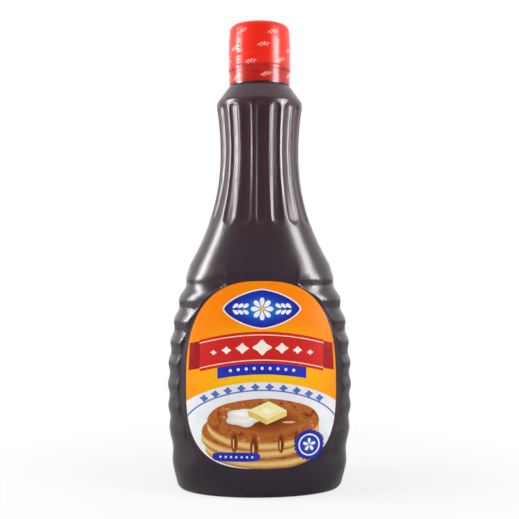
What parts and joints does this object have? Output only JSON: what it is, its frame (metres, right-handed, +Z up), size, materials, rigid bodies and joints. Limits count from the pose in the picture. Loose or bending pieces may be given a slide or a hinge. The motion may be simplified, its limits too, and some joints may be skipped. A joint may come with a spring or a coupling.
{
  "type": "pancake syrup bottle",
  "caption": "Sealed oval bottle of dark pancake syrup with a fluted neck, ribbed sides, a sleeved red screw cap and egg-shaped picture labels.",
  "frame": {"origin": "middle of the foot, on the surface that the bottle stands on", "axes": "+Z up to the cap, +X along the wide side to one mould seam, -Y out of the front label"},
  "size_m": [0.098, 0.0642, 0.2467],
  "materials": {
    "clear_pet": "glossy clear blow-moulded PET",
    "syrup": "dark brown syrup",
    "cap_plastic": "moulded polypropylene",
    "sleeve_film": "glossy shrunk film",
    "label_film": "printed and varnished label"
  },
  "bodies": {
    "root": {"bottle": "clear_pet", "syrup": "syrup", "cap": "cap_plastic", "sleeve": "sleeve_film", "front_label": "label_film", "back_label": "label_film"}
  },
  "joints": []
}
